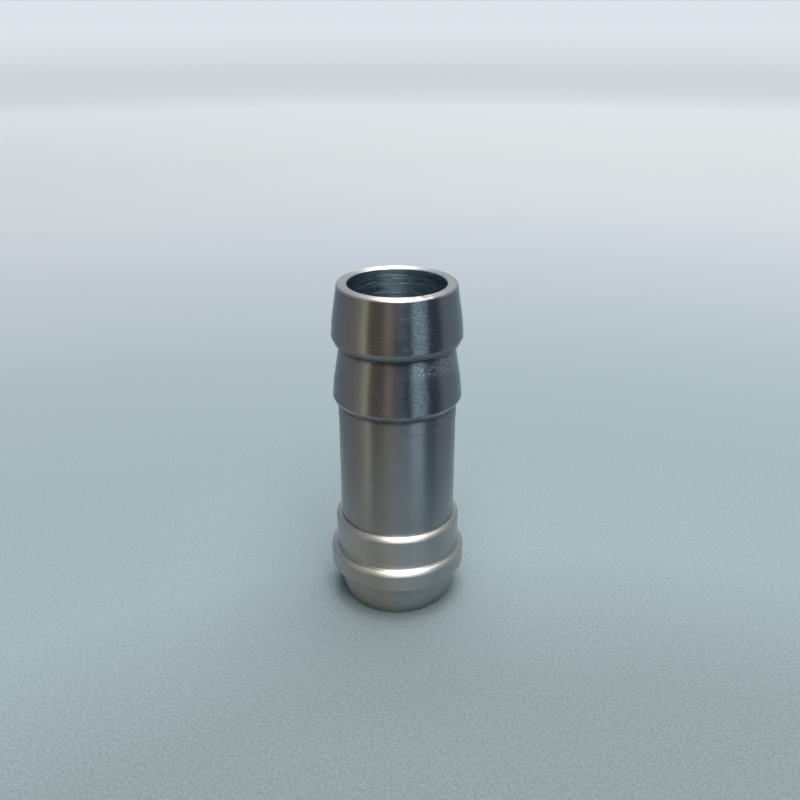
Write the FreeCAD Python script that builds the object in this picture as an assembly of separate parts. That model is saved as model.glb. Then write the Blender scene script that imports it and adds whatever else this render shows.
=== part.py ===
import FreeCAD, Part
import math
import os

# In-line carbon dioxide diffuser with a hose tail, in millimetres.
#
# Frame: origin at the centre of the nose's bottom face, +Z up along the turned axis, towards the hose end.
# Gas comes in at the open mouth on top, passes a screen and a spring-loaded check valve, and leaves as fine
# bubbles through a porous disc in the nose. The stem screws out of the end cap so that the disc can be changed.

# ---------------------------------------------------------------- driving dimensions
overall_height = 46.6
tube_r = 8.0                # 16 mm tube, for 16 mm bore hose
bore_r = 6.5
collar_r = 8.72
flange_r = 9.53

# two barbs at the hose end: each is a cone that swells downwards to a crest, then steps in under it
rim_r = 7.93
upper_crest_r = 8.78
upper_crest_z = 39.65
upper_neck_r = 7.78
lower_crest_r = 8.75
lower_crest_z = 31.2

nose_tip_r = 7.46
nose_straight_z = 2.4       # the nose curves in below this height
flange_bottom_z = 4.9
flange_top_z = 8.05
collar_top_z = 12.97

# stem thread and its mating bore in the collar
thread_pitch = 1.0
thread_r = 7.5
thread_depth = 0.45
thread_clearance = 0.05
relief_r = 6.98             # smooth neck above the thread
relief_length = 0.8
face_gap = 0.03             # gap left between faces that only meet when the cap is tight

# stack in the end cap, from the outlet upwards
outlet_r = 4.9
lip_thickness = 1.2
pocket_r = 6.95
gasket_thickness = 0.8
disc_thickness = 2.5
disc_r = 6.7
cartridge_flange_thickness = 1.0

# check valve cartridge
barrel_r = 6.35
barrel_flange_r = 7.2
barrel_top_z = 25.0
guide_bore_r = 4.6          # lower end of the barrel, holds the spring guide
chamber_r = 4.2             # middle of the barrel, where the poppet moves
seat_bore_r = 5.2           # upper end of the barrel, holds seat and screen
guide_shelf_z = 11.2
seat_shelf_z = 18.5
poppet_travel = 1.2

# ---------------------------------------------------------------- heights that follow from them
outlet_gasket_z = lip_thickness
disc_z = outlet_gasket_z + gasket_thickness
disc_gasket_z = disc_z + disc_thickness
cartridge_z = disc_gasket_z + gasket_thickness + face_gap
cartridge_flange_top_z = cartridge_z + cartridge_flange_thickness
stem_end_z = cartridge_flange_top_z + face_gap
stem_shoulder_z = collar_top_z + face_gap
pocket_top_z = disc_gasket_z + 0.7

up = FreeCAD.Vector(0, 0, 1)
centre = FreeCAD.Vector(0, 0, 0)


# ---------------------------------------------------------------- helpers
def rounded_face(corners):
    """Face in the XZ plane from corners (radius, height, corner rounding), each joined by straight lines."""
    count = len(corners)
    edges = []
    starts = []
    ends = []
    middles = []
    for i in range(count):
        r, z, rounding = corners[i]
        here = FreeCAD.Vector(r, 0, z)
        before = FreeCAD.Vector(corners[i - 1][0], 0, corners[i - 1][1])
        after = FreeCAD.Vector(corners[(i + 1) % count][0], 0, corners[(i + 1) % count][1])
        to_before = (before - here).normalize()
        to_after = (after - here).normalize()
        if rounding == 0:
            starts.append(here)
            ends.append(here)
            middles.append(None)
            continue
        half_angle = to_before.getAngle(to_after) / 2
        setback = rounding / math.tan(half_angle)
        bisector = (to_before + to_after).normalize()
        starts.append(here + to_before * setback)
        ends.append(here + to_after * setback)
        middles.append(here + bisector * (rounding / math.sin(half_angle) - rounding))
    for i in range(count):
        if middles[i] is not None:
            edges.append(Part.Arc(starts[i], middles[i], ends[i]).toShape())
        edges.append(Part.makeLine(ends[i], starts[(i + 1) % count]))
    return Part.Face(Part.Wire(edges))


def turned(corners):
    """Solid of revolution about Z from corners (radius, height, corner rounding)."""
    return rounded_face(corners).revolve(centre, up, 360)


def ring(inner_r, outer_r, bottom_z, top_z, rounding=0):
    """Ring of rectangular section with rounded corners."""
    return turned([
        (inner_r, bottom_z, rounding),
        (outer_r, bottom_z, rounding),
        (outer_r, top_z, rounding),
        (inner_r, top_z, rounding),
    ])


def cylinder(radius, bottom_z, top_z, x=0, y=0):
    return Part.makeCylinder(radius, top_z - bottom_z, FreeCAD.Vector(x, y, bottom_z), up)


def around(count, shape, start_angle=0):
    """Copies of a shape, evenly spaced about Z."""
    copies = []
    for i in range(count):
        copy = shape.copy()
        copy.rotate(centre, up, start_angle + i * 360 / count)
        copies.append(copy)
    return copies


def swept_helix(radius, pitch, bottom_z, height, section):
    """A closed section wire, drawn at angle 0 and the helix's start height, swept up a helix."""
    path = Part.makeHelix(pitch, height, radius)
    path.translate(FreeCAD.Vector(0, 0, bottom_z))
    return Part.Wire(path).makePipeShell([section], True, True)


# ---------------------------------------------------------------- outside pieces
def end_cap():
    """Nose, flange and collar with the thread bore, the disc pocket and the outlet in the nose."""
    body = turned([
        (outlet_r, 0, 0.3),
        (nose_tip_r, 0, 0.25),
        (nose_tip_r + 0.42, 1.15, 3.0),
        (tube_r, nose_straight_z, 2.0),
        (tube_r, flange_bottom_z, 0.15),
        (flange_r, flange_bottom_z, 0.3),
        (flange_r, flange_top_z, 0.66),
        (collar_r, flange_top_z, 0.12),
        (collar_r, collar_top_z, 0.62),
        (thread_r + thread_clearance, collar_top_z, 0.15),
        (thread_r + thread_clearance, pocket_top_z, 0),
        (pocket_r, pocket_top_z, 0),
        (pocket_r, lip_thickness, 0.1),
        (outlet_r, lip_thickness, 0),
    ])
    return body


def stem_blank():
    """The stem without its thread: spigot, tube and two barbs, bored through."""
    mouth_r = bore_r + 0.06
    mouth_depth = 1.6
    return turned([
        (bore_r, stem_end_z, 0.15),
        (thread_r, stem_end_z, 0.3),
        (thread_r, stem_shoulder_z - relief_length, 0),
        (relief_r, stem_shoulder_z - relief_length - 0.3, 0),
        (relief_r, stem_shoulder_z, 0.1),
        (tube_r, stem_shoulder_z, 0.1),
        (tube_r, 28.2, 0),
        (tube_r + 0.06, 28.3, 0),
        (tube_r + 0.06, lower_crest_z - 1.05, 0.1),
        (lower_crest_r - 0.3, lower_crest_z - 0.65, 0.5),
        (lower_crest_r, lower_crest_z, 0.08),
        (lower_crest_r - 0.23, lower_crest_z + 2.4, 8.0),
        (upper_neck_r, upper_crest_z - 1.4, 0.1),
        (upper_crest_r - 0.33, upper_crest_z - 0.85, 0.5),
        (upper_crest_r, upper_crest_z, 0.08),
        (upper_crest_r - 0.16, upper_crest_z + 2.25, 6.0),
        (rim_r, overall_height, 0.3),
        (mouth_r, overall_height, 0.2),
        (mouth_r, overall_height - mouth_depth, 0),
        (bore_r, overall_height - mouth_depth - 1.4, 0),
    ])


def barbed_stem():
    """Stem with its V thread cut as one helical groove from below the spigot up into the relief neck."""
    groove_start_z = stem_end_z - thread_pitch
    groove_height = stem_shoulder_z - relief_length / 2 - groove_start_z
    outside_r = thread_r + 0.15
    root_r = thread_r - thread_depth
    half_width = 0.42
    section = Part.makePolygon([
        FreeCAD.Vector(outside_r, 0, groove_start_z - half_width),
        FreeCAD.Vector(root_r, 0, groove_start_z - 0.06),
        FreeCAD.Vector(root_r, 0, groove_start_z + 0.06),
        FreeCAD.Vector(outside_r, 0, groove_start_z + half_width),
        FreeCAD.Vector(outside_r, 0, groove_start_z - half_width),
    ])
    groove = swept_helix(thread_r, thread_pitch, groove_start_z, groove_height, section)
    return stem_blank().cut(groove).Solids[0]


# ---------------------------------------------------------------- disc stack in the end cap
def outlet_gasket():
    return ring(outlet_r + 0.3, disc_r, outlet_gasket_z, disc_z, 0.1)


def diffuser_disc():
    return turned([
        (0, disc_z, 0),
        (disc_r, disc_z, 0.2),
        (disc_r, disc_gasket_z, 0.2),
        (0, disc_gasket_z, 0),
    ])


def disc_gasket():
    return ring(outlet_r + 0.3, disc_r, disc_gasket_z, disc_gasket_z + gasket_thickness, 0.1)


# ---------------------------------------------------------------- check valve cartridge
guide_ring_z = 8.6          # groove for the retaining ring
guide_ring_width = 0.8
guide_ring_groove_r = 5.05
o_ring_groove_z = 13.9
o_ring_groove_width = 1.9
o_ring_groove_r = 5.2
guide_thickness = 1.7
guide_top_z = guide_shelf_z - 0.02
seat_top_z = seat_shelf_z + 2.5
screen_thickness = 0.3
wire_r = 0.2
spring_r = 2.1
poppet_stem_r = 0.85
poppet_head_r = 3.0
poppet_head_z = 16.2
poppet_head_top_z = 17.9
seal_groove_inner_r = 1.7
seal_groove_outer_r = 2.7
seal_groove_z = 17.4
boss_r = 1.6


def valve_barrel():
    """Cartridge body: flange, retaining ring groove, guide shelf, valve chamber, seat shelf, O-ring groove."""
    ring_groove_top_z = guide_ring_z + guide_ring_width
    o_ring_top_z = o_ring_groove_z + o_ring_groove_width
    return turned([
        (guide_bore_r, cartridge_z, 0.2),
        (barrel_flange_r, cartridge_z, 0.1),
        (barrel_flange_r, cartridge_flange_top_z, 0.1),
        (barrel_r, cartridge_flange_top_z, 0.05),
        (barrel_r, o_ring_groove_z, 0.1),
        (o_ring_groove_r, o_ring_groove_z, 0.15),
        (o_ring_groove_r, o_ring_top_z, 0.15),
        (barrel_r, o_ring_top_z, 0.1),
        (barrel_r, barrel_top_z, 0.5),
        (seat_bore_r, barrel_top_z, 0.3),
        (seat_bore_r, seat_shelf_z, 0.1),
        (chamber_r, seat_shelf_z, 0),
        (chamber_r, guide_shelf_z, 0),
        (guide_bore_r, guide_shelf_z, 0),
        (guide_bore_r, ring_groove_top_z, 0),
        (guide_ring_groove_r, ring_groove_top_z, 0),
        (guide_ring_groove_r, guide_ring_z, 0),
        (guide_bore_r, guide_ring_z, 0),
    ])


def barrel_o_ring():
    """O-ring, drawn as squeezed between its groove and the stem's bore."""
    return ring(o_ring_groove_r + 0.03, bore_r - 0.05, o_ring_groove_z + 0.2, o_ring_groove_z + 1.7, 0.55)


def spring_guide():
    """Drilled disc with a bored boss on top that centres the spring."""
    boss_top_z = guide_top_z + 0.9
    hole_r = poppet_stem_r + 0.07
    body = turned([
        (hole_r, guide_top_z - guide_thickness, 0.1),
        (guide_bore_r - 0.05, guide_top_z - guide_thickness, 0.15),
        (guide_bore_r - 0.05, guide_top_z, 0.1),
        (boss_r, guide_top_z, 0.1),
        (boss_r, boss_top_z, 0.15),
        (hole_r, boss_top_z, 0.1),
    ])
    flow_hole = cylinder(0.7, guide_top_z - 5, guide_top_z + 5, x=3.25)
    return body.cut(around(6, flow_hole)).Solids[0]


def retaining_ring():
    """Open spring ring with two pierced lugs, seated in the barrel's groove."""
    bottom_z = guide_ring_z + 0.05
    top_z = guide_ring_z + guide_ring_width - 0.05
    outer_r = guide_ring_groove_r - 0.08
    inner_r = 4.15
    gap_angle = 36
    lug_r = 0.75
    lug_hole_r = 0.3
    lug_centre_r = 3.75
    band = ring(inner_r, outer_r, bottom_z, top_z)
    notch = Part.makeCylinder(10, 10, FreeCAD.Vector(0, 0, 0), up, gap_angle)
    notch.rotate(centre, up, -gap_angle / 2)
    body = band.cut(notch)
    for side in (-1, 1):
        angle = math.radians(side * (gap_angle / 2 + 9))
        x = lug_centre_r * math.cos(angle)
        y = lug_centre_r * math.sin(angle)
        body = body.fuse(cylinder(lug_r, bottom_z, top_z, x, y))
        body = body.cut(cylinder(lug_hole_r, bottom_z - 1, top_z + 1, x, y))
    return body.removeSplitter().Solids[0]


def valve_spring():
    """Coil spring between the guide and the poppet's head; the round wire is drawn with twelve flats."""
    bottom_z = guide_top_z + wire_r + 0.02
    height = poppet_head_z - wire_r - 0.02 - bottom_z
    turns = 5
    flats = 12
    corners = []
    for i in range(flats + 1):
        angle = 2 * math.pi * (i % flats) / flats
        x = spring_r + wire_r * math.cos(angle)
        z = bottom_z + wire_r * math.sin(angle)
        corners.append(FreeCAD.Vector(x, 0, z))
    section = Part.makePolygon(corners)
    return swept_helix(spring_r, height / turns, bottom_z, height, section)


def valve_poppet():
    """Mushroom poppet: guide stem, spring boss, head with a groove for its seal."""
    return turned([
        (0, 8.2, 0),
        (poppet_stem_r, 8.2, 0.25),
        (poppet_stem_r, poppet_head_z - 0.6, 0),
        (boss_r, poppet_head_z - 0.6, 0.15),
        (boss_r, poppet_head_z, 0.1),
        (poppet_head_r, poppet_head_z, 0.2),
        (poppet_head_r, poppet_head_top_z, 0.15),
        (seal_groove_outer_r, poppet_head_top_z, 0),
        (seal_groove_outer_r, seal_groove_z, 0),
        (seal_groove_inner_r, seal_groove_z, 0),
        (seal_groove_inner_r, poppet_head_top_z, 0.1),
        (0, poppet_head_top_z, 0),
    ])


def poppet_seal():
    seal_top_z = seat_shelf_z - 0.13
    return ring(seal_groove_inner_r + 0.02, seal_groove_outer_r - 0.02, seal_groove_z, seal_top_z, 0.2)


def valve_seat():
    """Seat disc with the inlet hole, a raised sealing lip below and an O-ring groove round its rim."""
    rim_r = seat_bore_r - 0.05
    groove_r = 4.4
    lip_z = seat_shelf_z - 0.11
    return turned([
        (1.5, lip_z + 0.1, 0),
        (1.5, seat_top_z, 0.4),
        (rim_r, seat_top_z, 0.1),
        (rim_r, seat_shelf_z + 1.75, 0.05),
        (groove_r, seat_shelf_z + 1.75, 0.1),
        (groove_r, seat_shelf_z + 0.65, 0.1),
        (rim_r, seat_shelf_z + 0.65, 0.05),
        (rim_r, seat_shelf_z + 0.02, 0.1),
        (2.45, seat_shelf_z + 0.02, 0),
        (2.35, lip_z, 0.05),
        (2.0, lip_z, 0.05),
        (1.9, lip_z + 0.1, 0),
    ])


def seat_o_ring():
    return ring(4.42, seat_bore_r - 0.02, seat_shelf_z + 0.8, seat_shelf_z + 1.6, 0.3)


def inlet_screen():
    """Perforated disc, holes in a hexagonal pattern."""
    screen_r = seat_bore_r - 0.1
    hole_r = 0.3
    hole_spacing = 0.95
    field_r = 3.6
    disc = cylinder(screen_r, seat_top_z, seat_top_z + screen_thickness)
    holes = []
    rows = 4
    for row in range(-rows, rows + 1):
        for column in range(-rows - 1, rows + 2):
            x = hole_spacing * (column + (row % 2) / 2)
            y = hole_spacing * row * math.sqrt(3) / 2
            if math.hypot(x, y) <= field_r:
                holes.append(cylinder(hole_r, seat_top_z - 1, seat_top_z + 1, x, y))
    return disc.cut(holes).Solids[0]


def screen_clamp_ring():
    """Ring with two spanner slots that clamps the screen and the seat."""
    bottom_z = seat_top_z + screen_thickness
    top_z = bottom_z + 2.4
    inner_r = 3.9
    body = turned([
        (inner_r, bottom_z, 0.1),
        (seat_bore_r - 0.05, bottom_z, 0.2),
        (seat_bore_r - 0.05, top_z, 0.2),
        (inner_r, top_z, 0.4),
    ])
    slot_width = 1.0
    slot = Part.makeBox(20, slot_width, 2, FreeCAD.Vector(-10, -slot_width / 2, top_z - 0.9))
    return body.cut(slot).Solids[0]


# ---------------------------------------------------------------- export, one file per piece
pieces = {
    "end_cap": end_cap,
    "outlet_gasket": outlet_gasket,
    "diffuser_disc": diffuser_disc,
    "disc_gasket": disc_gasket,
    "barbed_stem": barbed_stem,
    "valve_barrel": valve_barrel,
    "barrel_o_ring": barrel_o_ring,
    "spring_guide": spring_guide,
    "retaining_ring": retaining_ring,
    "valve_spring": valve_spring,
    "valve_poppet": valve_poppet,
    "poppet_seal": poppet_seal,
    "valve_seat": valve_seat,
    "seat_o_ring": seat_o_ring,
    "inlet_screen": inlet_screen,
    "screen_clamp_ring": screen_clamp_ring,
}

os.makedirs("parts", exist_ok=True)
for name, make_piece in pieces.items():
    shape = make_piece()
    shape.exportStep("parts/" + name + ".step")
    print(name, shape.ShapeType, len(shape.Solids), shape.isValid(), round(shape.Volume, 2), shape.BoundBox)
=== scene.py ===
import math

import bpy
import numpy as np
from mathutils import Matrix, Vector


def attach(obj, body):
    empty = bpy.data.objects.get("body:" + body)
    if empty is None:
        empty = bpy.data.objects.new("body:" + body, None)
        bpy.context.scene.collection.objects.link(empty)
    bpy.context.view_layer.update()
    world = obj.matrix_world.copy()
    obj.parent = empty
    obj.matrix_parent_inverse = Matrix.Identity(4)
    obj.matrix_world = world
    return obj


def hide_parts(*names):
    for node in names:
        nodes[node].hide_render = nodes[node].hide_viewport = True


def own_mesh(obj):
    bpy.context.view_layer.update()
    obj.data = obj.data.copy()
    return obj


# Looks of the in-line gas diffuser: turned steel stem and end cap, porous disc, seals and check valve.
# Shapes are worked out in millimetres along the turned axis and put into the meshes in metres.

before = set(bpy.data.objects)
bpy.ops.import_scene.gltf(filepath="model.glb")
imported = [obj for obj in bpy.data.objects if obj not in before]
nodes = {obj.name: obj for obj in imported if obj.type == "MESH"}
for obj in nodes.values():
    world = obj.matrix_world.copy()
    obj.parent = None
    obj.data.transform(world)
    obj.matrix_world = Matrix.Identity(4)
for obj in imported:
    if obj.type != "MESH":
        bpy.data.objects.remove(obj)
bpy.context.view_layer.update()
MM = 0.001

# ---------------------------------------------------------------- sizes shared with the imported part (mm)
overall_height = 46.6
tube_r = 8.0
bore_r = 6.5
collar_r = 8.72
flange_r = 9.53
rim_r = 7.93
upper_crest_r = 8.78
upper_crest_z = 39.65
upper_neck_r = 7.78
lower_crest_r = 8.75
lower_crest_z = 31.2
land_bottom_z = 28.2
nose_tip_r = 7.46
nose_straight_z = 2.4
flange_bottom_z = 4.9
flange_top_z = 8.05
collar_top_z = 12.97
thread_pitch = 1.0
thread_r = 7.5
thread_depth = 0.45
thread_bore_r = 7.55
relief_r = 6.98
relief_length = 0.8
outlet_r = 4.9
lip_z = 1.2
pocket_r = 6.95
pocket_top_z = 5.2
disc_r = 6.7
gasket_bore_r = 5.2
disc_z = 2.0
disc_top_z = 4.5
gasket_top_z = 5.3
cartridge_z = 5.33
cartridge_flange_top_z = 6.33
stem_end_z = 6.36
stem_shoulder_z = 13.0
barrel_r = 6.35
barrel_flange_r = 7.2
barrel_top_z = 25.0
guide_bore_r = 4.6
chamber_r = 4.2
seat_bore_r = 5.2
o_ring_groove_r = 5.2
o_ring_outer_r = 6.45
o_ring_bottom_z = 14.1
o_ring_top_z = 15.6
retainer_groove_r = 5.05
retainer_groove_bottom_z = 8.6
retainer_groove_top_z = 9.4
guide_shelf_z = 11.2
guide_top_z = 11.18
seat_shelf_z = 18.5
poppet_head_z = 16.2
spring_r = 2.1
wire_r = 0.2
spring_bottom_z = guide_top_z + 0.02
spring_top_z = poppet_head_z - 0.02

round_segments = 176


# ---------------------------------------------------------------- shape makers
def rounded_outline(corners, closed=True, arc_points=9, longest_step=0.6):
    """Points (radius, height) of a closed or open outline from corners (radius, height, rounding).

    At a rounded corner the arc touches both runs: it starts rounding / tan(half angle) before the corner
    and its points are centre + rounding * (cos, sin) swept between the two touching points. Straight runs
    get points no further apart than longest_step, and one close to each end so that shading stays crisp.
    """
    table = np.array(corners, float)
    count = len(table)
    runs = []
    for i in range(count):
        here = table[i, :2]
        rounding = table[i, 2]
        at_open_end = not closed and i in (0, count - 1)
        if rounding == 0 or at_open_end:
            runs.append(here[None, :])
            continue
        to_before = table[i - 1, :2] - here
        to_after = table[(i + 1) % count, :2] - here
        to_before /= np.linalg.norm(to_before)
        to_after /= np.linalg.norm(to_after)
        half_angle = np.arccos(np.clip(to_before @ to_after, -1, 1)) / 2
        bisector = to_before + to_after
        bisector /= np.linalg.norm(bisector)
        middle = here + bisector * rounding / np.sin(half_angle)
        start = here + to_before * rounding / np.tan(half_angle) - middle
        end = here + to_after * rounding / np.tan(half_angle) - middle
        start_angle = np.arctan2(start[1], start[0])
        sweep = np.arctan2(end[1], end[0]) - start_angle
        sweep = (sweep + np.pi) % (2 * np.pi) - np.pi
        angles = start_angle + sweep * np.linspace(0, 1, arc_points)
        runs.append(middle + rounding * np.stack([np.cos(angles), np.sin(angles)], axis=1))
    points = []
    last = count if closed else count - 1
    for i in range(last):
        points.append(runs[i])
        a = runs[i][-1]
        b = runs[(i + 1) % count][0]
        length = np.linalg.norm(b - a)
        near_end = min(0.04, length / 4)
        steps = max(1, int(np.ceil(length / longest_step)))
        along = np.concatenate([[near_end / length], np.arange(1, steps) / steps, [1 - near_end / length]])
        points.append(a + (b - a) * np.sort(along)[:, None])
    if not closed:
        points.append(runs[-1])
    return np.concatenate(points)


def grid_faces(rows, columns, first=0, wrap_rows=False):
    """Quads of a grid whose columns wrap round; turning along a column then up a row faces outwards."""
    i = np.arange(rows if wrap_rows else rows - 1)[:, None]
    j = np.arange(columns)[None, :]
    i_next = (i + 1) % rows
    j_next = (j + 1) % columns
    corner = [i * columns + j, i * columns + j_next, i_next * columns + j_next, i_next * columns + j]
    return first + np.stack([c + 0 * (i + j) for c in corner], axis=-1).reshape(-1, 4)


def make_piece(name, points_mm, faces, sharp_degrees=35):
    mesh = bpy.data.meshes.new(name)
    mesh.from_pydata((points_mm * MM).tolist(), [], faces)
    mesh.validate()
    mesh.shade_smooth()
    mesh.set_sharp_from_angle(angle=math.radians(sharp_degrees))
    piece = bpy.data.objects.new(name, mesh)
    bpy.context.scene.collection.objects.link(piece)
    return piece


def turned(name, outline, relief=None, sharp_degrees=35):
    """Surface of revolution: (radius cos a, radius sin a, height) for each outline point and angle a.

    relief, if given, is a function of radius, height and angle that returns the changed radius.
    An outline that starts and ends on the axis is closed there with one point and a fan of triangles.
    """
    angle = 2 * np.pi * np.arange(round_segments) / round_segments
    on_axis = outline[0, 0] == 0 and outline[-1, 0] == 0
    rings = outline[1:-1] if on_axis else outline
    radius = rings[:, 0][:, None] + 0 * angle[None, :]
    height = rings[:, 1][:, None] + 0 * angle[None, :]
    if relief is not None:
        radius = relief(radius, height, angle[None, :])
    grid = np.stack([radius * np.cos(angle), radius * np.sin(angle), height], axis=-1).reshape(-1, 3)
    faces = grid_faces(len(rings), round_segments, wrap_rows=not on_axis).tolist()
    if on_axis:
        bottom = len(grid)
        top = bottom + 1
        poles = np.array([[0, 0, outline[0, 1]], [0, 0, outline[-1, 1]]])
        grid = np.concatenate([grid, poles])
        last_ring = (len(rings) - 1) * round_segments
        j = np.arange(round_segments)
        j_next = (j + 1) % round_segments
        faces += np.stack([0 * j + bottom, j_next, j], axis=1).tolist()
        faces += np.stack([0 * j + top, last_ring + j, last_ring + j_next], axis=1).tolist()
    return make_piece(name, grid, faces, sharp_degrees)


def turned_ring(name, inner_r, outer_r, bottom_z, top_z, rounding):
    """Ring of rectangular section with rounded corners."""
    corners = [
        (inner_r, bottom_z, rounding),
        (outer_r, bottom_z, rounding),
        (outer_r, top_z, rounding),
        (inner_r, top_z, rounding),
    ]
    return turned(name, rounded_outline(corners))


def thread_relief(radius, height, angle):
    """Right-hand V thread: a groove whose centre rises one pitch a turn is cut into the spigot.

    With u the distance from the nearest groove centre along the axis, the depth is thread_depth where u is
    under the groove's flat, falls in a straight line to nothing at its edge, and fades at the spigot's end.
    """
    flat = 0.06
    edge = 0.33
    turns = (height - stem_end_z) / thread_pitch - angle / (2 * np.pi)
    u = np.abs((turns + 0.5) % 1 - 0.5) * thread_pitch
    depth = thread_depth * np.clip((edge - u) / (edge - flat), 0, 1)
    threaded = (radius > relief_r) & (height < stem_shoulder_z - 0.05)
    return np.where(threaded, np.minimum(radius, np.maximum(thread_r - depth, relief_r)), radius)


def barbed_stem():
    """Spigot, tube and two barbs, bored through, with the thread cut in the spigot."""
    mouth_r = bore_r + 0.06
    mouth_depth = 1.6
    thread_heights = np.arange(stem_end_z + 0.36, stem_shoulder_z - relief_length, 0.06)
    thread_steps = [(thread_r, z, 0) for z in thread_heights]
    corners = [
        (bore_r, stem_end_z, 0.15),
        (thread_r, stem_end_z, 0.3),
        *thread_steps,
        (relief_r, stem_shoulder_z - relief_length + 0.1, 0),
        (relief_r, stem_shoulder_z, 0.1),
        (tube_r, stem_shoulder_z, 0.1),
        (tube_r, land_bottom_z, 0),
        (tube_r + 0.06, land_bottom_z + 0.1, 0),
        (tube_r + 0.06, lower_crest_z - 1.05, 0.1),
        (lower_crest_r - 0.3, lower_crest_z - 0.65, 0.5),
        (lower_crest_r, lower_crest_z, 0.08),
        (lower_crest_r - 0.23, lower_crest_z + 2.4, 8.0),
        (upper_neck_r, upper_crest_z - 1.4, 0.1),
        (upper_crest_r - 0.33, upper_crest_z - 0.85, 0.5),
        (upper_crest_r, upper_crest_z, 0.08),
        (upper_crest_r - 0.16, upper_crest_z + 2.25, 6.0),
        (rim_r, overall_height, 0.3),
        (mouth_r, overall_height, 0.2),
        (mouth_r, overall_height - mouth_depth, 0),
        (bore_r, overall_height - mouth_depth - 1.4, 0),
    ]
    outline = rounded_outline(corners)
    keep = np.concatenate([[True], np.linalg.norm(np.diff(outline, axis=0), axis=1) > 1e-4])
    return turned("stem_surface", outline[keep], thread_relief)


def end_cap():
    """Nose, flange and collar, with the thread bore, the disc pocket and the outlet."""
    corners = [
        (outlet_r, 0, 0.3),
        (nose_tip_r, 0, 0.25),
        (nose_tip_r + 0.42, 1.15, 3.0),
        (tube_r, nose_straight_z, 2.0),
        (tube_r, flange_bottom_z, 0.15),
        (flange_r, flange_bottom_z, 0.3),
        (flange_r, flange_top_z, 0.66),
        (collar_r, flange_top_z, 0.12),
        (collar_r, collar_top_z, 0.62),
        (thread_bore_r, collar_top_z, 0.15),
        (thread_bore_r, pocket_top_z, 0),
        (pocket_r, pocket_top_z, 0),
        (pocket_r, lip_z, 0.1),
        (outlet_r, lip_z, 0),
    ]
    return turned("cap_surface", rounded_outline(corners))


def diffuser_disc():
    """Plain round disc; its grains are in the material."""
    corners = [
        (0, disc_z, 0),
        (disc_r, disc_z, 0.2),
        (disc_r, disc_top_z, 0.2),
        (0, disc_top_z, 0),
    ]
    return turned("disc_surface", rounded_outline(corners, closed=False))


def valve_barrel():
    """Cartridge body with its flange, guide shelf, ring groove, seat shelf and O-ring groove."""
    corners = [
        (guide_bore_r, cartridge_z, 0.2),
        (barrel_flange_r, cartridge_z, 0.1),
        (barrel_flange_r, cartridge_flange_top_z, 0.1),
        (barrel_r, cartridge_flange_top_z, 0.05),
        (barrel_r, o_ring_bottom_z - 0.2, 0.1),
        (o_ring_groove_r, o_ring_bottom_z - 0.2, 0.15),
        (o_ring_groove_r, o_ring_top_z + 0.2, 0.15),
        (barrel_r, o_ring_top_z + 0.2, 0.1),
        (barrel_r, barrel_top_z, 0.5),
        (seat_bore_r, barrel_top_z, 0.3),
        (seat_bore_r, seat_shelf_z, 0.1),
        (chamber_r, seat_shelf_z, 0),
        (chamber_r, guide_shelf_z, 0),
        (guide_bore_r, guide_shelf_z, 0),
        (guide_bore_r, retainer_groove_top_z, 0),
        (retainer_groove_r, retainer_groove_top_z, 0),
        (retainer_groove_r, retainer_groove_bottom_z, 0),
        (guide_bore_r, retainer_groove_bottom_z, 0),
    ]
    return turned("barrel_surface", rounded_outline(corners))


def valve_spring():
    """Round wire on a helix: centre (R cos t, R sin t, z rising evenly), wire section spanned by the
    outward direction and the direction square to both it and the helix; flat closed ends."""
    turns = 5
    along = 220
    around = 16
    bottom_z = spring_bottom_z + wire_r
    height = spring_top_z - wire_r - bottom_z
    t = np.linspace(0, 2 * np.pi * turns, along)[:, None]
    u = (2 * np.pi * np.arange(around) / around)[None, :]
    rise = height / (2 * np.pi * turns)
    outward = np.stack([np.cos(t), np.sin(t), 0 * t], axis=-1)
    tangent = np.stack([-spring_r * np.sin(t), spring_r * np.cos(t), rise + 0 * t], axis=-1)
    tangent /= np.linalg.norm(tangent, axis=-1, keepdims=True)
    sideways = np.cross(outward, tangent)
    centre = outward * spring_r + np.stack([0 * t, 0 * t, bottom_z + rise * t], axis=-1)
    wire = centre + wire_r * (np.cos(u)[..., None] * outward + np.sin(u)[..., None] * sideways)
    points = np.concatenate([wire.reshape(-1, 3), centre[0], centre[-1]])
    faces = grid_faces(along, around).tolist()
    first_centre = along * around
    j = np.arange(around)
    j_next = (j + 1) % around
    end_ring = (along - 1) * around
    faces += np.stack([0 * j + first_centre, j_next, j], axis=1).tolist()
    faces += np.stack([0 * j + first_centre + 1, end_ring + j, end_ring + j_next], axis=1).tolist()
    return make_piece("spring_surface", points, faces, 60)


# ---------------------------------------------------------------- node helpers
def add_node(tree, kind, **values):
    """A new node; values are attributes, or inputs when the name is one of its sockets."""
    node = tree.nodes.new(kind)
    for key, value in values.items():
        label = key.replace("_", " ")
        if hasattr(node, key):
            setattr(node, key, value)
        else:
            node.inputs[label].default_value = value
    return node


def do_math(tree, operation, *operands, clamp=False):
    """A Math node; each operand is a number or a socket. Returns its output."""
    node = tree.nodes.new("ShaderNodeMath")
    node.operation = operation
    node.use_clamp = clamp
    for socket, operand in zip(node.inputs, operands):
        if isinstance(operand, (int, float)):
            socket.default_value = operand
        else:
            tree.links.new(operand, socket)
    return node.outputs[0]


def smooth_step(tree, value, low, high):
    """0 below low, 1 above high, smooth between; low may be above high to turn it round."""
    node = tree.nodes.new("ShaderNodeMapRange")
    node.interpolation_type = "SMOOTHSTEP"
    tree.links.new(value, node.inputs["Value"])
    if low < high:
        node.inputs["From Min"].default_value = low
        node.inputs["From Max"].default_value = high
    else:
        node.inputs["From Min"].default_value = high
        node.inputs["From Max"].default_value = low
        node.inputs["To Min"].default_value = 1
        node.inputs["To Max"].default_value = 0
    return node.outputs["Result"]


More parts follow.
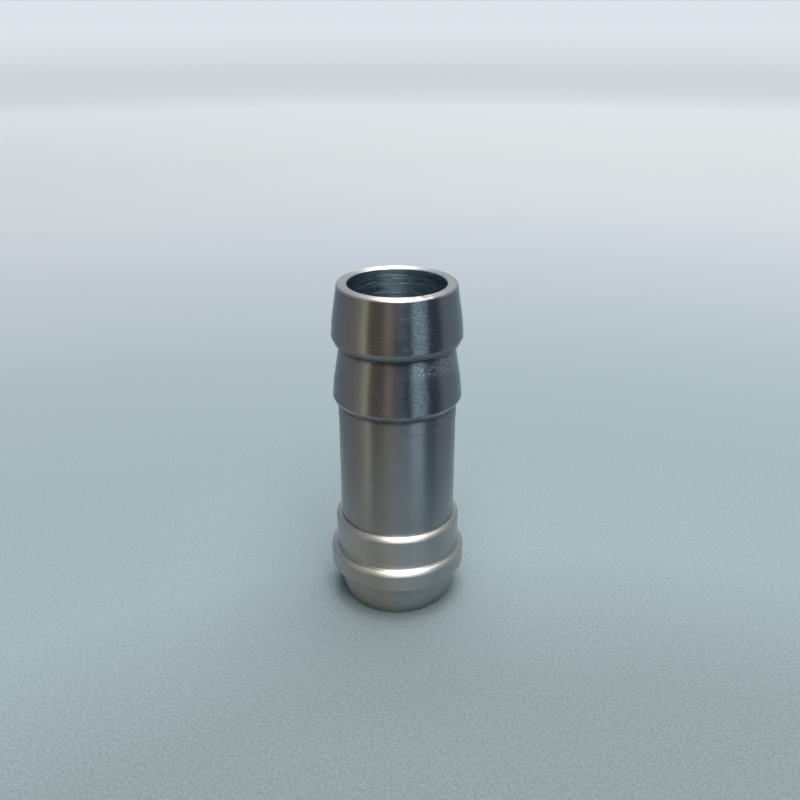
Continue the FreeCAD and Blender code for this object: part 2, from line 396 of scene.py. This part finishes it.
def spread(tree, value, low, high):
    """Maps 0..1 onto low..high."""
    node = tree.nodes.new("ShaderNodeMapRange")
    tree.links.new(value, node.inputs["Value"])
    node.inputs["To Min"].default_value = low
    node.inputs["To Max"].default_value = high
    return node.outputs["Result"]


def spread_from(tree, value, low, high):
    """Maps low..high onto 0..1."""
    node = tree.nodes.new("ShaderNodeMapRange")
    tree.links.new(value, node.inputs["Value"])
    node.inputs["From Min"].default_value = low
    node.inputs["From Max"].default_value = high
    return node.outputs["Result"]


def between(tree, value, start, full_from, full_to, end):
    """1 from full_from to full_to, 0 outside start to end, smooth between."""
    rise = smooth_step(tree, value, start, full_from)
    fall = smooth_step(tree, value, end, full_to)
    return do_math(tree, "MULTIPLY", rise, fall)


def in_bands(tree, height, bands, softness):
    """1 inside any of the bands (bottom z, top z), 0 outside, with soft limits."""
    total = 0.0
    for bottom_z, top_z in bands:
        limits = (bottom_z - softness, bottom_z + softness, top_z - softness, top_z + softness)
        total = do_math(tree, "MAXIMUM", total, between(tree, height, *limits))
    return total


def tinted(lightness, warmth):
    """A grey of the given lightness, warmer (positive) or cooler (negative)."""
    return (lightness * (1 + warmth), lightness, lightness * (1 - warmth))


def mix_colour(tree, factor, a, b):
    """Mix of two colours; each is a tuple or a socket."""
    node = tree.nodes.new("ShaderNodeMix")
    node.data_type = "RGBA"
    tree.links.new(factor, node.inputs["Factor"])
    for socket, value in ((node.inputs[6], a), (node.inputs[7], b)):
        if isinstance(value, tuple):
            socket.default_value = (*value, 1)
        else:
            tree.links.new(value, socket)
    return node.outputs[2]


def colour_ramp(tree, factor, stops):
    """Colour ramp from stops (position, colour)."""
    ramp = tree.nodes.new("ShaderNodeValToRGB")
    tree.links.new(factor, ramp.inputs["Fac"])
    elements = ramp.color_ramp.elements
    for element, (position, colour) in zip(elements, (stops[0], stops[-1])):
        element.position = position
        element.color = (*colour, 1)
    for position, colour in stops[1:-1]:
        elements.new(position).color = (*colour, 1)
    return ramp.outputs["Color"]


def noise(tree, vector, scale, detail=3.0, roughness=0.55):
    node = tree.nodes.new("ShaderNodeTexNoise")
    node.inputs["Scale"].default_value = scale
    node.inputs["Detail"].default_value = detail
    node.inputs["Roughness"].default_value = roughness
    tree.links.new(vector, node.inputs["Vector"])
    return node.outputs["Fac"]


def new_group(name, inputs, outputs):
    """A shader node group with number inputs {name: value}, a Vector input in mm, and number outputs."""
    group = bpy.data.node_groups.new(name, "ShaderNodeTree")
    group.interface.new_socket("Vector", in_out="INPUT", socket_type="NodeSocketVector")
    for label, value in inputs.items():
        socket = group.interface.new_socket(label, in_out="INPUT", socket_type="NodeSocketFloat")
        socket.default_value = value
    for label in outputs:
        group.interface.new_socket(label, in_out="OUTPUT", socket_type="NodeSocketFloat")
    start = group.nodes.new("NodeGroupInput")
    end = group.nodes.new("NodeGroupOutput")
    return group, start.outputs, end.inputs


def cylinder_coordinates(tree, vector):
    """Radius, angle in radians and height of a point, as three sockets."""
    parts = tree.nodes.new("ShaderNodeSeparateXYZ")
    tree.links.new(vector, parts.inputs[0])
    x, y, z = parts.outputs
    squares = do_math(tree, "ADD", do_math(tree, "MULTIPLY", x, x), do_math(tree, "MULTIPLY", y, y))
    return do_math(tree, "SQRT", squares), do_math(tree, "ARCTAN2", y, x), z


def combine(tree, x, y, z):
    node = tree.nodes.new("ShaderNodeCombineXYZ")
    for socket, value in zip(node.inputs, (x, y, z)):
        if isinstance(value, (int, float)):
            socket.default_value = value
        else:
            tree.links.new(value, socket)
    return node.outputs[0]


# ---------------------------------------------------------------- shared surface effects
def make_turning_rings():
    """Rings left by the lathe tool: noise that changes quickly along the profile, slowly round it."""
    group, given, out = new_group("turning_rings", {"Spacing": 0.1, "Streak": 1.0}, ["Height"])
    radius, angle, height = cylinder_coordinates(group, given["Vector"])
    profile = do_math(group, "DIVIDE", do_math(group, "ADD", height, radius), given["Spacing"])
    around_x = do_math(group, "MULTIPLY", do_math(group, "COSINE", angle), given["Streak"])
    around_y = do_math(group, "MULTIPLY", do_math(group, "SINE", angle), given["Streak"])
    rings = noise(group, combine(group, around_x, around_y, profile), 1.0, 3.0)
    group.links.new(rings, out["Height"])
    return group


def make_handling_marks():
    """Faint smears and spots from handling: large soft patches broken by small ones."""
    group, given, out = new_group("handling_marks", {"Size": 4.0}, ["Smear", "Spots"])
    per_mm = do_math(group, "DIVIDE", 1.0, given["Size"])
    scaled = add_node(group, "ShaderNodeVectorMath", operation="SCALE")
    group.links.new(given["Vector"], scaled.inputs[0])
    group.links.new(per_mm, scaled.inputs["Scale"])
    group.links.new(noise(group, scaled.outputs[0], 1.0, 4.0, 0.6), out["Smear"])
    group.links.new(smooth_step(group, noise(group, scaled.outputs[0], 6.0, 2.0), 0.6, 0.72), out["Spots"])
    return group


def make_fine_scratches():
    """Thin scratches: edges of long narrow cells wound round the axis, kept only in patches."""
    group, given, out = new_group("fine_scratches", {"Slant": 0.7, "Spacing": 1.2}, ["Mask"])
    radius, angle, height = cylinder_coordinates(group, given["Vector"])
    arc = do_math(group, "MULTIPLY", angle, tube_r)
    across = do_math(group, "ADD", height, do_math(group, "MULTIPLY", arc, given["Slant"]))
    across = do_math(group, "DIVIDE", across, given["Spacing"])
    lengthwise = do_math(group, "MULTIPLY", arc, 0.12)
    cells = add_node(group, "ShaderNodeTexVoronoi", feature="DISTANCE_TO_EDGE", Scale=1.0)
    group.links.new(combine(group, across, lengthwise, 0.0), cells.inputs["Vector"])
    lines = smooth_step(group, cells.outputs["Distance"], 0.03, 0.008)
    patches = smooth_step(group, noise(group, given["Vector"], 0.35, 2.0), 0.48, 0.62)
    group.links.new(do_math(group, "MULTIPLY", lines, patches), out["Mask"])
    return group


def make_tool_chatter():
    """Short dents where the tool shook: small cells, longer round the axis and slightly slanted."""
    barb_middle_r = 8.4
    group, given, out = new_group("tool_chatter", {"Length": 0.9, "Width": 0.22}, ["Height"])
    radius, angle, height = cylinder_coordinates(group, given["Vector"])
    arc = do_math(group, "MULTIPLY", angle, barb_middle_r)
    along = do_math(group, "ADD", arc, do_math(group, "MULTIPLY", height, 0.15))
    across = do_math(group, "SUBTRACT", height, do_math(group, "MULTIPLY", arc, 0.20))
    along = do_math(group, "DIVIDE", along, given["Length"])
    across = do_math(group, "DIVIDE", across, given["Width"])
    dents = noise(group, combine(group, along, across, 0.0), 1.0, 2.0)
    group.links.new(dents, out["Height"])
    return group


turning_rings = make_turning_rings()
handling_marks = make_handling_marks()
fine_scratches = make_fine_scratches()
tool_chatter = make_tool_chatter()


# ---------------------------------------------------------------- materials
def new_material(name):
    """A material with a Principled shader and object coordinates in millimetres."""
    material = bpy.data.materials.new(name)
    material.use_nodes = True
    tree = material.node_tree
    shader = tree.nodes["Principled BSDF"]
    coordinates = tree.nodes.new("ShaderNodeTexCoord")
    in_mm = add_node(tree, "ShaderNodeVectorMath", operation="SCALE")
    in_mm.inputs["Scale"].default_value = 1000
    tree.links.new(coordinates.outputs["Object"], in_mm.inputs[0])
    return material, tree, shader, in_mm.outputs[0]


def use_group(tree, group, vector, **values):
    node = tree.nodes.new("ShaderNodeGroup")
    node.node_tree = group
    tree.links.new(vector, node.inputs["Vector"])
    for key, value in values.items():
        node.inputs[key].default_value = value
    return node.outputs


def add_bump(tree, shader, height, distance_mm, strength=1.0):
    """Bump on the shader's normal; height is in 0..1 and distance_mm is what 1 stands for."""
    bump = tree.nodes.new("ShaderNodeBump")
    bump.inputs["Strength"].default_value = strength
    bump.inputs["Distance"].default_value = distance_mm * MM
    tree.links.new(height, bump.inputs["Height"])
    tree.links.new(bump.outputs["Normal"], shader.inputs["Normal"])


def turned_steel(name, lightness, warmth, barbs_from_z, bore_limit_r, faced_edges, shaded_bands, torn_bands):
    """Turned stainless steel: fine rings, smears, painted warm light on one front flank and cool light
    elsewhere; the barbs are smoother and carry tool chatter, the bore shows coarse rings and is painted dark
    and bluish as shade and reflection, with tool lines painted as glints, the faced edges (bottom z, top z)
    are rougher along their section and painted lighter as a highlight, shade is painted dark in the shaded
    bands (bottom z, top z) under the crests and flange, and the surface is torn inside the torn bands, with
    lighter flecks painted as glints."""
    material, tree, shader, vector = new_material(name)
    radius, angle, height = cylinder_coordinates(tree, vector)
    in_bore = smooth_step(tree, radius, bore_limit_r, bore_limit_r - 0.05)
    outside = do_math(tree, "SUBTRACT", 1.0, in_bore)
    on_barbs = smooth_step(tree, height, barbs_from_z, barbs_from_z + 0.2)
    on_barbs = do_math(tree, "MULTIPLY", on_barbs, outside)
    edge_with_painted_highlight = do_math(tree, "MULTIPLY", in_bands(tree, height, faced_edges, 0.04), outside)
    in_shaded_band = do_math(tree, "MULTIPLY", in_bands(tree, height, shaded_bands, 0.25), outside)

    fine_rings = use_group(tree, turning_rings, vector, Spacing=0.07, Streak=1.4)["Height"]
    coarse_rings = use_group(tree, turning_rings, vector, Spacing=0.40, Streak=1.6)["Height"]
    marks = use_group(tree, handling_marks, vector, Size=5.0)
    scratches = use_group(tree, fine_scratches, vector, Slant=0.06, Spacing=0.7)["Mask"]
    chatter = use_group(tree, tool_chatter, vector, Length=0.55, Width=0.16)["Height"]

    # the chattered patch lies on one side of the barbs, and fades out raggedly
    ragged = spread(tree, marks["Smear"], -0.25, 0.25)
    round_it = do_math(tree, "ADD", angle, ragged)
    patch = do_math(tree, "MULTIPLY", between(tree, round_it, -1.50, -1.30, -1.00, -0.70), on_barbs)
    torn = do_math(tree, "MULTIPLY", between(tree, round_it, -1.45, -1.10, -0.70, -0.30), on_barbs)
    torn = do_math(tree, "MULTIPLY", torn, in_bands(tree, height, torn_bands, 0.7))

    # painted light: warm light on the front-left flank, cool light elsewhere
    warm_lit_flank = between(tree, angle, -2.70, -2.45, -1.68, -1.50)
    dull_lightness = 0.8 * lightness
    bright = mix_colour(tree, warm_lit_flank, tinted(lightness, warmth - 0.08), tinted(lightness, warmth + 0.03))
    dull_cool_lit = tinted(dull_lightness, warmth - 0.08)
    dull_warm_lit = tinted(dull_lightness, warmth + 0.04)
    dull = mix_colour(tree, warm_lit_flank, dull_cool_lit, dull_warm_lit)
    base = mix_colour(tree, marks["Smear"], bright, dull)
    base = mix_colour(tree, do_math(tree, "MULTIPLY", scratches, 0.12), base, (0.55, 0.55, 0.55))
    # faced edges and collar foot painted lighter as a highlight
    base = mix_colour(tree, do_math(tree, "MULTIPLY", edge_with_painted_highlight, 0.8), base, (0.50, 0.49, 0.47))
    mottle = do_math(tree, "MULTIPLY", patch, smooth_step(tree, chatter, 0.42, 0.62))
    base = mix_colour(tree, do_math(tree, "MULTIPLY", mottle, 0.6), base, (0.10, 0.12, 0.14))
    # painted shade: darker under the barb crests and under the flange, uneven along the smears
    shade_under_overhangs = do_math(tree, "MULTIPLY", in_shaded_band, spread(tree, marks["Smear"], 0.35, 0.95))
    base = mix_colour(tree, shade_under_overhangs, base, (0.10, 0.115, 0.13))
    # lighter flecks on the torn surface, painted as glints
    painted_glint_flecks = do_math(tree, "MULTIPLY", torn, smooth_step(tree, chatter, 0.50, 0.60))
    base = mix_colour(tree, painted_glint_flecks, base, (0.60, 0.63, 0.65))
    # the bore is painted dark and bluish as shade and reflection inside it, and its tool lines painted bright
    # as glints
    bore_shade_and_glints = mix_colour(tree, coarse_rings, (0.05, 0.13, 0.18), (0.38, 0.48, 0.54))
    tool_lines = use_group(tree, turning_rings, vector, Spacing=0.14, Streak=2.6)["Height"]
    painted_glint_lines = smooth_step(tree, tool_lines, 0.58, 0.72)
    bore_shade_and_glints = mix_colour(tree, painted_glint_lines, bore_shade_and_glints, (0.80, 0.84, 0.85))
    base = mix_colour(tree, in_bore, base, bore_shade_and_glints)
    tree.links.new(base, shader.inputs["Base Color"])

    roughness = spread(tree, fine_rings, 0.25, 0.34)
    roughness = do_math(tree, "ADD", roughness, spread(tree, marks["Smear"], -0.03, 0.04))
    roughness = do_math(tree, "SUBTRACT", roughness, do_math(tree, "MULTIPLY", on_barbs, 0.06))
    roughness = do_math(tree, "ADD", roughness, do_math(tree, "MULTIPLY", edge_with_painted_highlight, 0.20))
    roughness = do_math(tree, "SUBTRACT", roughness, do_math(tree, "MULTIPLY", patch, 0.05))
    roughness = do_math(tree, "ADD", roughness, do_math(tree, "MULTIPLY", painted_glint_flecks, 0.16))
    roughness = do_math(tree, "ADD", roughness, do_math(tree, "MULTIPLY", scratches, 0.04), clamp=True)
    tree.links.new(roughness, shader.inputs["Roughness"])

    relief = do_math(tree, "MULTIPLY", fine_rings, 0.12)
    bore_relief = do_math(tree, "MULTIPLY", do_math(tree, "MULTIPLY", coarse_rings, in_bore), 3.6)
    relief = do_math(tree, "ADD", relief, bore_relief)
    shallow_dents = do_math(tree, "MULTIPLY", patch, 1.1)
    dent_depth = do_math(tree, "ADD", shallow_dents, do_math(tree, "MULTIPLY", torn, 2.4))
    relief = do_math(tree, "ADD", relief, do_math(tree, "MULTIPLY", chatter, dent_depth))
    relief = do_math(tree, "SUBTRACT", relief, do_math(tree, "MULTIPLY", scratches, 0.05))
    add_bump(tree, shader, relief, 0.02)
    shader.inputs["Metallic"].default_value = 1
    shader.inputs["Anisotropic"].default_value = 0.8
    shader.inputs["Anisotropic Rotation"].default_value = 0.25
    return material


def sintered_steel():
    """Small round grains pressed together, dull grey, with dark pores between them."""
    material, tree, shader, vector = new_material("sintered_steel")
    grains = add_node(tree, "ShaderNodeTexVoronoi", feature="F1", Scale=7.0)
    pores = add_node(tree, "ShaderNodeTexVoronoi", feature="DISTANCE_TO_EDGE", Scale=7.0)
    tree.links.new(vector, grains.inputs["Vector"])
    tree.links.new(vector, pores.inputs["Vector"])
    solid = smooth_step(tree, pores.outputs["Distance"], 0.02, 0.16)
    tint = mix_colour(tree, noise(tree, vector, 1.2), (0.40, 0.39, 0.375), (0.52, 0.51, 0.49))
    base = mix_colour(tree, solid, (0.08, 0.08, 0.08), tint)
    tree.links.new(base, shader.inputs["Base Color"])
    tree.links.new(spread(tree, solid, 0.85, 0.5), shader.inputs["Roughness"])
    add_bump(tree, shader, do_math(tree, "SUBTRACT", 1.0, grains.outputs["Distance"]), 0.06)
    shader.inputs["Metallic"].default_value = 0.8
    return material


def turned_brass():
    """Turned brass with fine rings and a little dulling."""
    material, tree, shader, vector = new_material("turned_brass")
    rings = use_group(tree, turning_rings, vector, Spacing=0.09, Streak=1.2)["Height"]
    marks = use_group(tree, handling_marks, vector, Size=3.0)
    base = mix_colour(tree, marks["Smear"], (0.80, 0.62, 0.32), (0.62, 0.46, 0.22))
    tree.links.new(base, shader.inputs["Base Color"])
    tree.links.new(spread(tree, rings, 0.2, 0.36), shader.inputs["Roughness"])
    add_bump(tree, shader, rings, 0.006)
    shader.inputs["Metallic"].default_value = 1
    return material


def drawn_steel(name, roughness_low, roughness_high):
    """Bright wire and punched sheet: fine grain and faint smears."""
    material, tree, shader, vector = new_material(name)
    grain = noise(tree, vector, 9.0, 4.0)
    marks = use_group(tree, handling_marks, vector, Size=2.0)
    base = mix_colour(tree, marks["Smear"], (0.66, 0.66, 0.67), (0.50, 0.50, 0.51))
    tree.links.new(base, shader.inputs["Base Color"])
    tree.links.new(spread(tree, grain, roughness_low, roughness_high), shader.inputs["Roughness"])
    add_bump(tree, shader, grain, 0.004)
    shader.inputs["Metallic"].default_value = 1
    return material


def turned_acetal():
    """White acetal plastic with faint tool rings and a soft gloss."""
    material, tree, shader, vector = new_material("turned_acetal")
    rings = use_group(tree, turning_rings, vector, Spacing=0.12, Streak=1.0)["Height"]
    marks = use_group(tree, handling_marks, vector, Size=2.5)
    base = mix_colour(tree, marks["Smear"], (0.84, 0.84, 0.80), (0.74, 0.73, 0.68))
    tree.links.new(base, shader.inputs["Base Color"])
    tree.links.new(spread(tree, rings, 0.3, 0.5), shader.inputs["Roughness"])
    add_bump(tree, shader, rings, 0.01)
    return material


def seal_rubber():
    """Black moulded rubber with a fine matt skin and a little dust."""
    material, tree, shader, vector = new_material("seal_rubber")
    skin = noise(tree, vector, 12.0, 4.0)
    dust = use_group(tree, handling_marks, vector, Size=1.5)
    base = mix_colour(tree, dust["Spots"], (0.018, 0.018, 0.02), (0.07, 0.07, 0.07))
    tree.links.new(base, shader.inputs["Base Color"])
    tree.links.new(spread(tree, skin, 0.45, 0.7), shader.inputs["Roughness"])
    add_bump(tree, shader, skin, 0.01)
    return material


def dress(thing, material):
    thing.data.materials.clear()
    thing.data.materials.append(material)


# ---------------------------------------------------------------- the pieces
rim_edge = (overall_height - 0.28, overall_height + 0.1)
collar_edge = (collar_top_z - 0.62, collar_top_z + 0.1)
flange_edge = (flange_top_z - 0.70, flange_top_z - 0.02)
collar_foot = (flange_top_z + 0.03, flange_top_z + 0.20)
under_upper_crest = (upper_crest_z - 1.70, upper_crest_z - 0.45)
under_lower_crest = (lower_crest_z - 1.30, lower_crest_z - 0.35)
below_upper_neck = (upper_crest_z - 3.6, upper_crest_z - 1.6)
under_flange = (flange_bottom_z - 0.3, flange_bottom_z + 0.02)
stem_steel = turned_steel(
    "stem_steel",
    lightness=0.335,
    warmth=0.015,
    barbs_from_z=lower_crest_z - 0.9,
    bore_limit_r=bore_r + 0.12,
    faced_edges=[rim_edge],
    shaded_bands=[under_upper_crest, under_lower_crest],
    torn_bands=[below_upper_neck],
)
cap_steel = turned_steel(
    "cap_steel",
    lightness=0.43,
    warmth=0.055,
    barbs_from_z=overall_height,
    bore_limit_r=0.0,
    faced_edges=[collar_edge, flange_edge, collar_foot],
    shaded_bands=[under_flange],
    torn_bands=[],
)
disc_steel = sintered_steel()
valve_brass = turned_brass()
wire_steel = drawn_steel("wire_steel", 0.18, 0.32)
sheet_steel = drawn_steel("sheet_steel", 0.28, 0.42)
white_acetal = turned_acetal()
black_rubber = seal_rubber()

stem = barbed_stem()
cap = end_cap()
disc = diffuser_disc()
outlet_gasket = turned_ring("outlet_gasket_surface", gasket_bore_r, disc_r, lip_z, disc_z, 0.1)
disc_gasket = turned_ring("disc_gasket_surface", gasket_bore_r, disc_r, disc_top_z, gasket_top_z, 0.1)
barrel = valve_barrel()
barrel_o_ring = turned_ring(
    "barrel_o_ring_surface", o_ring_groove_r + 0.03, o_ring_outer_r, o_ring_bottom_z, o_ring_top_z, 0.55
)
spring = valve_spring()

# each built piece: (object, CAD node, body, record slot, material)
built = [
    (stem, "barbed_stem", "stem", "turned_steel", stem_steel),
    (cap, "end_cap", "base", "turned_steel", cap_steel),
    (disc, "diffuser_disc", "base", "sintered_steel", disc_steel),
    (outlet_gasket, "outlet_gasket", "base", "seal_rubber", black_rubber),
    (disc_gasket, "disc_gasket", "base", "seal_rubber", black_rubber),
    (barrel, "valve_barrel", "cartridge", "valve_brass", valve_brass),
    (barrel_o_ring, "barrel_o_ring", "cartridge", "seal_rubber", black_rubber),
    (spring, "valve_spring", "cartridge", "spring_steel", wire_steel),
]
for piece, node_name, body, slot_name, material in built:
    dress(piece, material)
    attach(piece, body)
    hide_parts(node_name)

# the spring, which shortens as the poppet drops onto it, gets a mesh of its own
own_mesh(bpy.data.objects["spring_surface"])

for node_name, material in {
    "spring_guide": white_acetal,
    "retaining_ring": wire_steel,
    "valve_poppet": white_acetal,
    "poppet_seal": black_rubber,
    "valve_seat": valve_brass,
    "seat_o_ring": black_rubber,
    "inlet_screen": sheet_steel,
    "screen_clamp_ring": valve_brass,
}.items():
    dress(nodes[node_name], material)


# ---------------------------------------------------------------- floor, light and camera
def paper_floor():
    """Very wide pale sheet with a painted cast shadow: darker towards the front, painted lighter and faintly
    glowing far off as painted light, with a fleck that fades with distance.

    Its tone follows the distance, in mm, from the centre of the painted shadow, a point on the floor in front
    of the object.
    """
    half = 40.0
    shadow_centre_point = (20, -112, 0)
    corners = [(-half, -half, 0), (half, -half, 0), (half, half, 0), (-half, half, 0)]
    mesh = bpy.data.meshes.new("paper_floor")
    mesh.from_pydata(corners, [], [(0, 1, 2, 3)])
    floor = bpy.data.objects.new("paper_floor", mesh)
    bpy.context.scene.collection.objects.link(floor)
    material, tree, shader, vector = new_material("paper")
    from_shadow_centre = add_node(tree, "ShaderNodeVectorMath", operation="DISTANCE")
    from_shadow_centre.inputs[1].default_value = shadow_centre_point
    tree.links.new(vector, from_shadow_centre.inputs[0])
    distance = from_shadow_centre.outputs["Value"]
    # painted cast shadow: darker near the front point, lighter further off
    painted_shadow_tone = colour_ramp(tree, spread_from(tree, distance, 0, 750), [
        (0.00, (0.080, 0.095, 0.104)),
        (0.12, (0.100, 0.122, 0.130)),
        (0.16, (0.127, 0.160, 0.172)),
        (0.21, (0.130, 0.163, 0.173)),
        (0.28, (0.152, 0.186, 0.200)),
        (0.40, (0.228, 0.248, 0.276)),
        (0.66, (0.405, 0.430, 0.440)),
        (1.00, (0.720, 0.755, 0.760)),
    ])
    tone = mix_colour(tree, smooth_step(tree, distance, 700, 2500), painted_shadow_tone, (0.90, 0.93, 0.95))
    # the far floor glows faintly, painted light
    painted_far_glow = smooth_step(tree, distance, 500, 1500)
    tree.links.new(tone, shader.inputs["Emission Color"])
    tree.links.new(do_math(tree, "MULTIPLY", painted_far_glow, 0.30), shader.inputs["Emission Strength"])
    fleck = noise(tree, vector, 2.6, 3.0, 0.8)
    fleck = do_math(tree, "SUBTRACT", fleck, 0.5)
    fleck = do_math(tree, "MULTIPLY", fleck, smooth_step(tree, distance, 260, 90))
    shade = do_math(tree, "ADD", 1.0, do_math(tree, "MULTIPLY", fleck, 1.1))
    toned = add_node(tree, "ShaderNodeVectorMath", operation="SCALE")
    tree.links.new(tone, toned.inputs[0])
    tree.links.new(shade, toned.inputs["Scale"])
    tree.links.new(toned.outputs[0], shader.inputs["Base Color"])
    shader.inputs["Roughness"].default_value = 0.9
    shader.inputs["Specular IOR Level"].default_value = 0.1
    floor.data.materials.append(material)


def reflection_screen():
    """Low curved screen in front of the object, seen only in its reflections, in place of a room's furniture.

    Seen from above it is part of an ellipse: 1 / reach^2 = (sin b / side)^2 + (cos b / front)^2 at bearing b.
    Its tone changes with the bearing: 0 degrees is towards the camera, positive to the right.
    """
    reach_side = 0.036
    reach_front = 0.075
    top_z = 0.07
    widest = 150
    bearing = np.radians(np.linspace(-widest, widest, 121))
    reach = 1 / np.hypot(np.sin(bearing) / reach_side, np.cos(bearing) / reach_front)
    rim = np.stack([reach * np.sin(bearing), -reach * np.cos(bearing)], axis=1)
    low = np.column_stack([rim, 0 * bearing + 0.001])
    high = np.column_stack([rim, 0 * bearing + top_z])
    count = len(bearing)
    i = np.arange(count - 1)
    faces = np.stack([i, i + 1, i + 1 + count, i + count], axis=1)
    mesh = bpy.data.meshes.new("reflection_screen")
    mesh.from_pydata(np.concatenate([low, high]).tolist(), [], faces.tolist())
    screen = bpy.data.objects.new("reflection_screen", mesh)
    bpy.context.scene.collection.objects.link(screen)
    screen.visible_camera = False
    screen.visible_diffuse = False
    screen.visible_shadow = False

    material, tree, shader, vector = new_material("screen_tones")
    parts = tree.nodes.new("ShaderNodeSeparateXYZ")
    tree.links.new(vector, parts.inputs[0])
    x, y, z = parts.outputs
    angle = do_math(tree, "ARCTAN2", x, do_math(tree, "MULTIPLY", y, -1.0))
    degrees = do_math(tree, "MULTIPLY", angle, math.degrees(1))
    tones = [
        (-150, (0.27, 0.32, 0.39)),
        (-110, (0.24, 0.28, 0.32)),
        (-78, (0.26, 0.28, 0.29)),
        (-64, (0.34, 0.34, 0.32)),
        (-51, (0.64, 0.64, 0.51)),
        (-45, (0.18, 0.17, 0.14)),
        (-34, (0.14, 0.13, 0.12)),
        (-24, (0.15, 0.13, 0.12)),
        (-17, (0.30, 0.25, 0.21)),
        (-10, (0.26, 0.21, 0.18)),
        (-3, (0.04, 0.07, 0.09)),
        (20, (0.05, 0.09, 0.12)),
        (28, (0.52, 0.68, 0.76)),
        (44, (0.46, 0.62, 0.70)),
        (52, (0.10, 0.13, 0.17)),
        (68, (0.09, 0.11, 0.16)),
        (80, (0.26, 0.28, 0.31)),
        (112, (0.25, 0.31, 0.34)),
        (150, (0.28, 0.42, 0.45)),
    ]
    stops = [((bearing_deg + widest) / (2 * widest), colour) for bearing_deg, colour in tones]
    tone = colour_ramp(tree, spread_from(tree, degrees, -widest, widest), stops)
    tree.links.new(tone, shader.inputs["Emission Color"])
    shader.inputs["Emission Strength"].default_value = 1.0
    shader.inputs["Base Color"].default_value = (0, 0, 0, 1)
    shader.inputs["Specular IOR Level"].default_value = 0
    screen.data.materials.append(material)


def room():
    """Soft surroundings: pale behind and above, dim in front at eye level, with a pale backdrop."""
    world = bpy.data.worlds.new("room")
    bpy.context.scene.world = world
    world.use_nodes = True
    tree = world.node_tree
    background = tree.nodes["Background"]
    coordinates = tree.nodes.new("ShaderNodeTexCoord")
    parts = tree.nodes.new("ShaderNodeSeparateXYZ")
    tree.links.new(coordinates.outputs["Generated"], parts.inputs[0])
    x, y, z = parts.outputs
    to_front = smooth_step(tree, y, 0.3, -0.6)
    base = mix_colour(tree, to_front, (0.62, 0.68, 0.75), (0.08, 0.095, 0.105))
    high = smooth_step(tree, z, 0.45, 0.95)
    base = mix_colour(tree, high, base, (0.60, 0.63, 0.66))
    seen_directly = tree.nodes.new("ShaderNodeLightPath").outputs["Is Camera Ray"]
    base = mix_colour(tree, seen_directly, base, (0.66, 0.70, 0.74))
    tree.links.new(base, background.inputs["Color"])
    background.inputs["Strength"].default_value = 1.0


def overhead_panel():
    """Long soft panel above the object."""
    data = bpy.data.lights.new("overhead_panel", "AREA")
    data.shape = "RECTANGLE"
    data.size = 0.34
    data.size_y = 0.75
    data.energy = 9.5
    data.color = (1.0, 0.985, 0.96)
    light = bpy.data.objects.new("overhead_panel", data)
    light.location = (0.058, -0.12, 0.50)
    bpy.context.scene.collection.objects.link(light)


def close_up_camera():
    """Camera at the height and distance of a hand-held close-up."""
    elevation = math.radians(24.12)
    distance = 0.12303
    target = Vector((0.00038, 0, 0.02989))
    back = Vector((0, -math.cos(elevation), math.sin(elevation)))
    data = bpy.data.cameras.new("camera")
    data.sensor_width = 36
    data.lens = 40.5
    data.clip_start = 0.005
    data.clip_end = 20
    camera = bpy.data.objects.new("camera", data)
    camera.location = target + back * distance
    camera.rotation_euler = (-back).to_track_quat("-Z", "Y").to_euler()
    bpy.context.scene.collection.objects.link(camera)
    bpy.context.scene.camera = camera


paper_floor()
reflection_screen()
room()
overhead_panel()
close_up_camera()
bpy.context.scene.view_settings.view_transform = "Standard"
